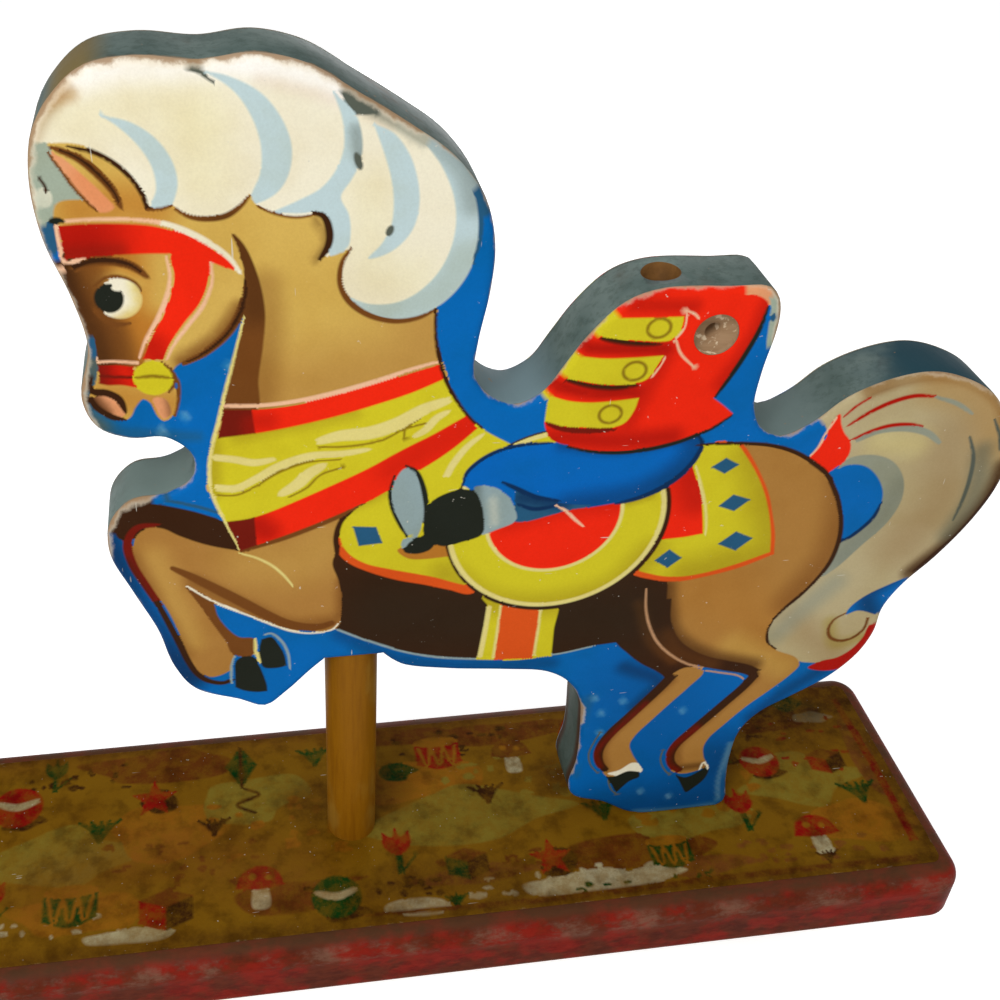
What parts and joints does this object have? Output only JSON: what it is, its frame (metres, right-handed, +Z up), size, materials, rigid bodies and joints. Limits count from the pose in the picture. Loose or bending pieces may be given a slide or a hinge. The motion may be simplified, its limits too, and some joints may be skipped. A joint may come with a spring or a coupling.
{
  "type": "horse pull toy",
  "caption": "Wooden pull toy: a flat prancing horse and rider sawn from one board, on a post and hind foot above a base board that rolls on small wheels.",
  "frame": {"origin": "on the floor under the middle of the base board", "axes": "+Z up; X along the base board with the horse facing -X; -Y is the horse's left side"},
  "size_m": [0.335, 0.095, 0.3154],
  "materials": {
    "base_paint": "worn red gloss paint on wood",
    "base_paper": "varnished printed paper on wood",
    "post_varnish": "ochre varnished dowel",
    "edge_paint": "worn grey-blue paint on sawn wood",
    "horse_paper": "varnished printed paper on wood",
    "bare_wood": "plain planed wood",
    "wheel_paint": "red painted turned wood",
    "axle_steel": "dull drawn steel",
    "screw_steel": "aged wood screw"
  },
  "bodies": {
    "base": {"base_board": "base_paint", "base_print": "base_paper", "post": "post_varnish", "horse_board": "edge_paint", "horse_print_left": "horse_paper", "horse_print_right": "horse_paper", "foot_screws": "screw_steel", "front_axle_block": "bare_wood", "rear_axle_block": "bare_wood", "front_block_screws": "screw_steel", "rear_block_screws": "screw_steel", "front_axle": "axle_steel", "rear_axle": "axle_steel", "front_left_washer": "axle_steel", "front_right_washer": "axle_steel", "rear_left_washer": "axle_steel", "rear_right_washer": "axle_steel", "front_left_cap": "axle_steel", "front_right_cap": "axle_steel", "rear_left_cap": "axle_steel", "rear_right_cap": "axle_steel"},
    "front_left_wheel": {"front_left_wheel": "wheel_paint"},
    "front_right_wheel": {"front_right_wheel": "wheel_paint"},
    "rear_left_wheel": {"rear_left_wheel": "wheel_paint"},
    "rear_right_wheel": {"rear_right_wheel": "wheel_paint"}
  },
  "joints": [
    {"name": "front_left_wheel_spin", "type": "hinge", "parent": "base", "child": "front_left_wheel", "pos_m": [-0.1195, 0, 0.013], "axis": [0, 1, 0], "continuous": true},
    {"name": "front_right_wheel_spin", "type": "hinge", "parent": "base", "child": "front_right_wheel", "pos_m": [-0.1195, 0, 0.013], "axis": [0, 1, 0], "continuous": true},
    {"name": "rear_left_wheel_spin", "type": "hinge", "parent": "base", "child": "rear_left_wheel", "pos_m": [0.1195, 0, 0.013], "axis": [0, 1, 0], "continuous": true},
    {"name": "rear_right_wheel_spin", "type": "hinge", "parent": "base", "child": "rear_right_wheel", "pos_m": [0.1195, 0, 0.013], "axis": [0, 1, 0], "continuous": true}
  ]
}
